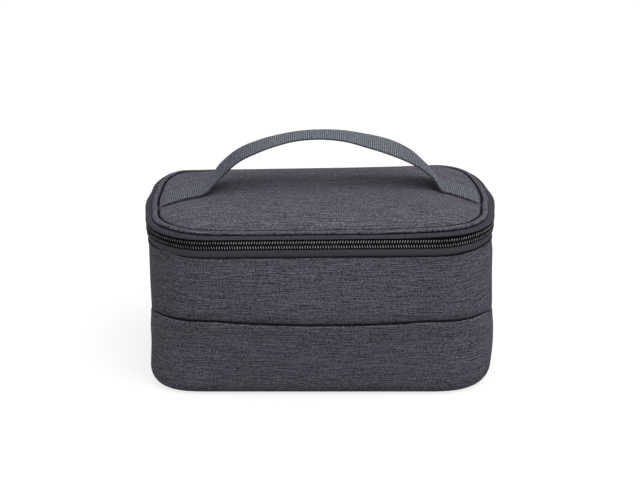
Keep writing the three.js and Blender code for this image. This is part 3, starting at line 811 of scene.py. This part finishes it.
def coil(name, node, body, side):
    """One turn of the nylon coil, drawn along the zip's length, repeated, and laid round the rim. Its crests
    carry a painted highlight, brightest along the front and fainter on the left."""
    # Share of the pitch, then millimetres out of the tape and away from the line where the coils meet
    turn = [
        (0.00, 0.80, -0.45), (0.08, 1.25, 0.25), (0.15, 1.60, 0.85), (0.22, 1.78, 1.40), (0.31, 1.78, 2.05),
        (0.41, 1.48, 2.60), (0.55, 0.85, 2.85), (0.70, 0.20, 2.35), (0.82, 0.05, 1.20), (0.92, 0.25, 0.10),
    ]
    path = [Vector((share * PITCH, out / 1000, side * up / 1000)) for share, out, up in turn]
    pitch = Vector((PITCH, 0, 0))
    path.append(path[0] + pitch)
    piece = draw_wire(name, WIRE, path, path[-2] - pitch, path[1] + pitch, Vector((1, 0, 0)))
    bpy.ops.object.mode_set(mode="OBJECT")
    # Painted highlight: 1 on the outward side of each turn's crest, where the wire would catch the light.
    painted_glint = piece.data.attributes.new("painted_glint", "FLOAT", "POINT")
    for vertex in piece.data.vertices:
        centre = min(path, key=lambda point: (point - vertex.co).length)
        facing = (vertex.co - centre).y / WIRE
        painted_glint.data[vertex.index].value = ramp(facing, 0.6, 1.0) * ramp(centre.y, 0.0015, 0.00175)
    turns = int(2 * ZIP_HALF / PITCH) - 1
    modify(piece, "ARRAY", count=turns, use_relative_offset=False, use_constant_offset=True,
           constant_offset_displace=(PITCH, 0, 0), use_merge_vertices=True, merge_threshold=0.00001)
    bpy.ops.object.mode_set(mode="EDIT")
    bpy.ops.mesh.select_all(action="SELECT")
    bpy.ops.mesh.fill_holes(sides=WIRE_SIDES)
    bpy.ops.mesh.select_all(action="SELECT")
    begin = -turns * PITCH / 2 + (side > 0) * PITCH / 2

    def lay(point):
        """From the straight coil to its place on the rim."""
        centre, outwards = station(begin + point.x)
        return on_wall(centre, outwards, ZIP_FACE + GAP + point.y, SPLIT_Z + point.z)
    place_chosen(piece, lay)
    bpy.ops.mesh.flip_normals()
    bpy.ops.object.mode_set(mode="OBJECT")
    # The painted highlight fades round the corners and along the sides, more on the left, away from the
    # light.
    for vertex, shine in zip(piece.data.vertices, piece.data.attributes["painted_glint"].data):
        glint_fade = 0.55 if vertex.co.x < 0 else 0.38
        away = abs(length_at(vertex.co, copysign(1, vertex.co.x)))
        shine.value *= 1 - glint_fade * ramp(away, 0.045, 0.090)
    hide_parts(node)
    return dress(piece, coil_nylon, body)


# Lid

def lid_share(x, y, half_width, half_depth, radius):
    """How far out a point of the lid lies, from 0 in the middle to 1 at the rounded edge."""
    x = abs(x)
    y = abs(y)
    side = max(x / half_width, y / half_depth)
    if side == 0:
        return 0
    centre_x = half_width - radius
    centre_y = half_depth - radius
    if x / side <= centre_x or y / side <= centre_y:
        return side
    # The line from the middle through the point meets the round of the corner
    corner = centre_x * centre_x + centre_y * centre_y - radius * radius
    towards = centre_x * x + centre_y * y
    reach = x * x + y * y
    if abs(corner) < 1e-12:
        return reach / (2 * towards)
    return (towards - sqrt(towards * towards - corner * reach)) / corner


def lid_height(x, y):
    """Height of the lid's upper face: a flat dome, fuller on the right."""
    inset = PANEL_INSET
    share = min(1, lid_share(x, y, HALF_WIDTH - inset, HALF_DEPTH - inset, CORNER - inset))
    height = GROOVE_Z + (1 - share ** CROWN_POWER) * (CROWN + CROWN_SLOPE * x)
    return height + lean(Vector((x, y, height)))


def lid_sheet(name, inset, drop, thickness, loose=False):
    """A grid rounded to the lid's outline and raised to its dome, with its edge turned down. A loose one
    crinkles."""
    half_width = HALF_WIDTH - inset
    half_depth = HALF_DEPTH - inset
    radius = CORNER - inset
    piece = start(name, bpy.ops.mesh.primitive_grid_add, size=2,
                  x_subdivisions=2 * round(half_width / STEP), y_subdivisions=2 * round(half_depth / STEP))

    def rounded(point):
        x = point.x * half_width
        y = point.y * half_depth
        across = (abs(x) - half_width + radius) / radius
        along = (abs(y) - half_depth + radius) / radius
        if across > 0 and along > 0:
            x = copysign(half_width - radius + radius * across * sqrt(1 - along * along / 2), x)
            y = copysign(half_depth - radius + radius * along * sqrt(1 - across * across / 2), y)
        place = Vector((x, y, 0))
        centre, outwards = wall_frame(place)
        reach = (place - centre).length / radius
        place += reach * reach * rim_fill(centre, outwards, SEAM_Z) * outwards
        place.z = lid_height(x, y) - drop
        if loose:
            place.z -= crinkle(place) * (1 - reach ** 4)
        return place
    place_chosen(piece, rounded)
    bpy.ops.mesh.region_to_loop()
    for out, down in ((0.0002, 0.0005), (0.0000, 0.0016)):
        bpy.ops.mesh.extrude_region_move()

        def turned(point):
            return point + out * wall_frame(point)[1] - Vector((0, 0, down))
        place_chosen(piece, turned)
    thicken(piece, thickness)
    lay_cloth(piece, seen_from_above)
    return piece


def lid_layers():
    """The lid's top panel, with the foam and the loose liner film under it."""
    panel = lid_sheet("lid_top", PANEL_INSET, 0, FABRIC)

    def to_seam(point):
        centre, outwards = wall_frame(point)
        if outwards.length == 0:
            return SEAM_REACH
        edge = CORNER - PANEL_INSET + rim_fill(centre, outwards, SEAM_Z)
        return edge - (point - centre).to_2d().length + 0.0005 * max(0, -outwards.y)
    # Painted shade in the groove round the panel's edge, reaching a little further along the front.
    mark_seam_shade(panel, to_seam)
    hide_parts("lid_panel")
    dress(panel, melange, "lid")
    inset = HALF_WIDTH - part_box("lid_foam")[1].x
    drop = FABRIC + GAP
    foam = lid_sheet("lid_padding", inset, drop, FOAM)
    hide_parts("lid_foam")
    dress(foam, foam_stuff, "lid")
    liner = lid_sheet("lid_lining", inset, drop + FOAM + GAP, LINER, loose=True)
    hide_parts("lid_liner")
    dress(liner, liner_film, "lid")


def lid_border():
    """The smooth strip round the lid, arched between the zip seam and the groove, edges turned under."""
    half = BORDER_WIDTH / 2
    middle = BORDER_OUT - half
    steps = 12
    profile = [(BORDER_OUT - 0.0007, SEAM_Z - 0.0002), (BORDER_OUT - 0.0002, SEAM_Z - 0.0001)]
    for i in range(steps + 1):
        angle = radians(155 * i / steps)
        profile.append((middle + half * cos(angle), SEAM_Z + BORDER_RISE * sin(angle)))
    profile.append((profile[-1][0] + 0.0001, profile[-1][1] - 0.0016))
    piece = draw_up("lid_edge_strip", profile)
    thicken(piece, TURNED_FABRIC)
    lay_cloth(piece, along_and_across)

    def to_seam(point):
        centre, outwards = wall_frame(point)
        out = (point - centre).dot(outwards) - CORNER - rim_fill(centre, outwards, SEAM_Z)
        return min(BORDER_OUT - out + 0.0004, out - BORDER_OUT + BORDER_WIDTH - 0.0004)
    # Painted shade in the grooves along both edges of the strip.
    mark_seam_shade(piece, to_seam)
    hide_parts("lid_border")
    return dress(piece, melange, "lid")


def lid_binding():
    """Tape over the raw edges inside the lid."""
    low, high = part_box("lid_binding")
    outside = high.x - HALF_WIDTH
    inside = outside - 0.005
    profile = climb(inside, high.z, low.z + 0.001)
    profile += roll(inside + 0.001, low.z + 0.001, 0.001, 180, 270, 4)[1:]
    profile += roll(outside - 0.0016, low.z + 0.0016, 0.0016, 270, 360, 4)
    profile += [(outside, high.z)]
    piece = draw_up("lid_binding_tape", profile)
    thicken(piece, BINDING)
    lay_cloth(piece, along_and_across)
    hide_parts("lid_binding")
    return dress(piece, tape_cloth, "lid")


# Handle

def strap_near(x):
    """Where the strap's near edge lies from front to back: its sewn ends slant towards the front."""
    return -STRAP_WIDTH / 2 - 0.0045 * ramp(abs(x), 0.076, 0.106)


def strap_line():
    """The strap's near edge as (x, height): it comes out of the groove, lies on the lid and arches over."""
    def lying(x):
        return x, lid_height(x, strap_near(x)) + STRAP / 2 + GAP
    left = [(-0.1062, GROOVE_Z - 0.0022), (-0.1046, GROOVE_Z - 0.0006)]
    left += [lying(x) for x in (-0.1025, -0.0985, -0.0930, -0.0870, -0.0815)]
    arch = [
        (-0.0782, 0.1196), (-0.0760, 0.1207), (-0.0734, 0.1228), (-0.0698, 0.1264), (-0.0654, 0.1308),
        (-0.0615, 0.1348), (-0.0570, 0.1393), (-0.0518, 0.1432), (-0.0440, 0.1472), (-0.0310, 0.1526),
        (-0.0160, 0.1567), (0.0000, 0.1580), (0.0160, 0.1565), (0.0310, 0.1522), (0.0440, 0.1479),
        (0.0560, 0.1430), (0.0640, 0.1389), (0.0700, 0.1346), (0.0746, 0.1306), (0.0774, 0.1265),
        (0.0799, 0.1233), (0.0824, 0.1219),
    ]
    right = [lying(x) for x in (0.0850, 0.0900, 0.0950, 0.0985, 0.1025)]
    right += [(0.1046, GROOVE_Z + 0.0010), (0.1062, GROOVE_Z - 0.0004)]
    return [Vector((x, 0, z)) for x, z in left + arch + right]


def strap_tilt(x):
    """The strap's turn about its length: back at the top of the arch, forward on its shoulders."""
    return radians(5.5 - 6.5 * bell(x + 0.052, 0.024) - 10 * bell(x - 0.050, 0.030))


def smooth_run(points, spacing):
    """Even steps along a smooth curve through the points, and the curve's length."""
    fine = []
    steps = 24
    ends = [2 * points[0] - points[1]] + points + [2 * points[-1] - points[-2]]
    for i in range(len(points) - 1):
        before, here, there, after = ends[i:i + 4]
        for k in range(steps):
            share = k / steps
            fine.append(0.5 * (2 * here + share * (there - before)
                               + share * share * (2 * before - 5 * here + 4 * there - after)
                               + share * share * share * (3 * here - before - 3 * there + after)))
    fine.append(points[-1])
    total = sum((there - here).length for here, there in zip(fine, fine[1:]))
    count = ceil(total / spacing)
    even = [fine[0]]
    walked = 0
    for here, there in zip(fine, fine[1:]):
        step = (there - here).length
        while len(even) < count and walked + step >= len(even) * total / count:
            even.append(here.lerp(there, (len(even) * total / count - walked) / step))
        walked += step
    even.append(fine[-1])
    return even, total


def handle():
    """One strap of ribbed webbing: flat and sewn down at its ends, arched between them."""
    run, total = smooth_run(strap_line(), RIB / 4)
    columns = len(run) - 1
    rows = 8
    leaves_lid = 0.1205
    stands_free = 0.132
    hangs_square = 0.148
    set_back = 0.003
    core = STRAP - 0.0003
    rib_height = 0.00016
    thinning = 0.00025
    selvedge = 0.2
    piece = start("webbing_handle", bpy.ops.mesh.primitive_grid_add, size=2,
                  x_subdivisions=columns, y_subdivisions=rows)

    def laid(point):
        """From the flat strip to the strap's place: on the lid at its ends, tilted and slanted above it."""
        edge = run[round((point.x + 1) / 2 * columns)]
        lift = ramp(edge.z, leaves_lid, stands_free)
        tilt = strap_tilt(edge.x) * lift
        across = (point.y + 1) * STRAP_WIDTH / 2
        near = strap_near(edge.x) + set_back * lift
        slant = 0.1 * lift * (1 - ramp(edge.z, stands_free, hangs_square))
        place = Vector((edge.x - slant * across, near + across * cos(tilt), edge.z - across * sin(tilt)))
        place.z += (1 - lift) * (lid_height(place.x, place.y) - lid_height(edge.x, near))
        return place
    cloth_place = {}
    mesh = bmesh.from_edit_mesh(piece.data)
    for vertex in mesh.verts:
        cloth_place[vertex.index] = (total * vertex.co.x / 2, vertex.co.y * STRAP_WIDTH / 2)
    place_chosen(piece, laid)
    bpy.ops.object.mode_set(mode="OBJECT")
    cloth = piece.data.uv_layers.new(name="cloth")
    for loop in piece.data.loops:
        cloth.data[loop.index].uv = cloth_place[loop.vertex_index]
    modify(piece, "SOLIDIFY", thickness=core, offset=0)
    cloth = piece.data.uv_layers["cloth"]
    spot = {loop.vertex_index: cloth.data[loop.index].uv.copy() for loop in piece.data.loops}
    normals = [vertex.normal.copy() for vertex in piece.data.vertices]
    for vertex, normal in zip(piece.data.vertices, normals):
        along, across = spot[vertex.index]
        edge = abs(across) / (STRAP_WIDTH / 2)
        rib = rib_height * cos(2 * pi * along / RIB)
        vertex.co += normal * (rib - thinning * max(0, edge - 1 + selvedge) / selvedge)
    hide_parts("handle_grip", "handle_root_left", "handle_root_right",
                "handle_end_left", "handle_end_right")
    dress(piece, webbing_cloth)
    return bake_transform(piece)


# Slider

def slider():
    """The slider's body sits over the coil, wide at its nose and narrow at its tail, with a wire bail on its
    face. The back plate inside the zip and the pull keep their solids."""
    low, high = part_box("slider_face")
    corner = Vector((CENTRE_X, CENTRE_Y, 0))
    outwards = ((low + high) / 2 - corner).to_2d().normalized().to_3d()
    along = Vector((-outwards.y, outwards.x, 0))

    def on_zip(point):
        return corner + along * point.x + outwards * (CORNER + point.y) + Vector((0, 0, SPLIT_Z + point.z))
    back = 0.0011
    face = 0.0047
    half_length = 0.0052
    half_height = 0.0033
    tail_share = 0.84
    corner_round = 0.0016
    edge_round = 0.0004
    rim = 0.0006
    dish = 0.0003
    piece = start("slider_body", bpy.ops.mesh.primitive_cube_add, size=2)

    def sized(point):
        depth = back + (point.y + 1) / 2 * (face - back)
        return Vector((point.x * half_length, depth, point.z * half_height))
    place_chosen(piece, sized)
    choose(piece, lambda vertex: vertex.co.x < 0)
    bpy.ops.transform.resize(value=(1, 1, tail_share), center_override=(0, 0, 0))
    choose(piece, lambda edge: abs(edge.verts[0].co.y - edge.verts[1].co.y) > 0.001, "edges")
    bpy.ops.mesh.bevel(offset=corner_round, segments=4)
    modify(piece, "BEVEL", width=edge_round, segments=2, limit_method="ANGLE")
    bpy.ops.object.mode_set(mode="EDIT")
    choose(piece, lambda side: side.normal.y > 0.99, "faces")
    bpy.ops.mesh.inset(thickness=rim)
    bpy.ops.transform.translate(value=(0, -dish, 0))
    bpy.ops.mesh.select_all(action="SELECT")
    place_chosen(piece, on_zip)
    bpy.ops.mesh.flip_normals()
    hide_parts("slider_face")
    dress(piece, zinc_paint, "slider", 35)
    level = -0.0018
    bail_radius = 0.0006
    arch = [(-0.0042, 0.0040), (-0.0042, 0.0056), (-0.0036, 0.0064), (-0.0024, 0.0067), (0, 0.0067)]
    arch += [(-x, y) for x, y in arch[-2::-1]]
    path = [Vector((x, y, level)) for x, y in arch]
    lead = 2 * path[0] - path[1]
    follow = 2 * path[-1] - path[-2]
    bail = draw_wire("slider_bail", bail_radius, path, lead, follow, Vector((0, 0, 1)))
    place_chosen(bail, on_zip)
    bpy.ops.mesh.fill_holes(sides=WIRE_SIDES)
    bpy.ops.mesh.select_all(action="SELECT")
    bpy.ops.mesh.normals_make_consistent(inside=False)
    dress(bail, zinc_paint, "slider")
    for node in ("slider_back", "slider_pull"):
        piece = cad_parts[node]
        piece.data.materials.clear()
        piece.data.materials.append(zinc_paint)


# The set: floor, light and camera

def seen_as_backdrop(tree):
    """1 for rays from the camera, off a shiny face or through glass, and 0 for those that light the bag."""
    path = add(tree, "ShaderNodeLightPath").outputs
    seen = path["Is Camera Ray"]
    for ray in ("Is Glossy Ray", "Is Transmission Ray"):
        seen = work(tree, "MAXIMUM", seen, path[ray])
    return seen


def floor():
    """A pale floor that keeps the bag's shadow and otherwise looks white."""
    glow = 0.75
    piece = start("floor", bpy.ops.mesh.primitive_plane_add, size=8)
    bpy.ops.object.mode_set(mode="OBJECT")
    material, tree, shader = new_material("white sweep")
    shader.inputs["Base Color"].default_value = colour("#A4A4A4")
    shader.inputs["Roughness"].default_value = 0.9
    shader.inputs["Emission Color"].default_value = (1, 1, 1, 1)
    strength = work(tree, "MULTIPLY", seen_as_backdrop(tree), glow)
    tree.links.new(strength, shader.inputs["Emission Strength"])
    piece.data.materials.append(material)


def backdrop():
    """A white surround, dimmer where it lights the bag."""
    lighting = 0.52
    white = 1.0
    world = bpy.data.worlds.new("studio")
    bpy.context.scene.world = world
    world.use_nodes = True
    tree = world.node_tree
    background = tree.nodes["Background"]
    background.inputs["Color"].default_value = (1, 1, 1, 1)
    strength = between(tree, seen_as_backdrop(tree), 0, 1, lighting, white)
    tree.links.new(strength, background.inputs["Strength"])


def softbox():
    """One large round lamp, above the bag and to the right in front of it."""
    place = Vector((0.50, -0.45, 1.32))
    target = Vector((0, 0, 0.1))
    bpy.ops.object.select_all(action="DESELECT")
    bpy.ops.object.light_add(type="AREA", location=place)
    lamp = bpy.context.object
    lamp.name = "top softbox"
    lamp.data.shape = "DISK"
    lamp.data.size = 1.2
    lamp.data.energy = 10
    lamp.rotation_euler = (target - place).to_track_quat("-Z", "Y").to_euler()


def camera():
    """A long lens, 22 degrees above the table, as the bag was photographed."""
    distance = 1.463
    height = 0.0832
    tilt = radians(22)
    bpy.ops.object.camera_add(location=(0, -distance * cos(tilt), height + distance * sin(tilt)),
                              rotation=(pi / 2 - tilt, 0, 0))
    eye = bpy.context.object
    eye.name = "portrait camera"
    eye.data.lens = 122.8
    eye.data.sensor_width = 36
    eye.data.sensor_fit = "HORIZONTAL"
    bpy.context.scene.camera = eye


outer_wall()
front_pocket()
base_panel()
wall_foam()
base_foam()
liner_tub()
body_binding()
zip_tapes()
hinge_strip()
coil("lower_coil", "zip_coil_body", "bag_body", -1)
coil("upper_coil", "zip_coil_lid", "lid", 1)
lid_layers()
lid_border()
lid_binding()
handle()
slider()
floor()
backdrop()
softbox()
camera()
bpy.context.scene.view_settings.view_transform = "Standard"
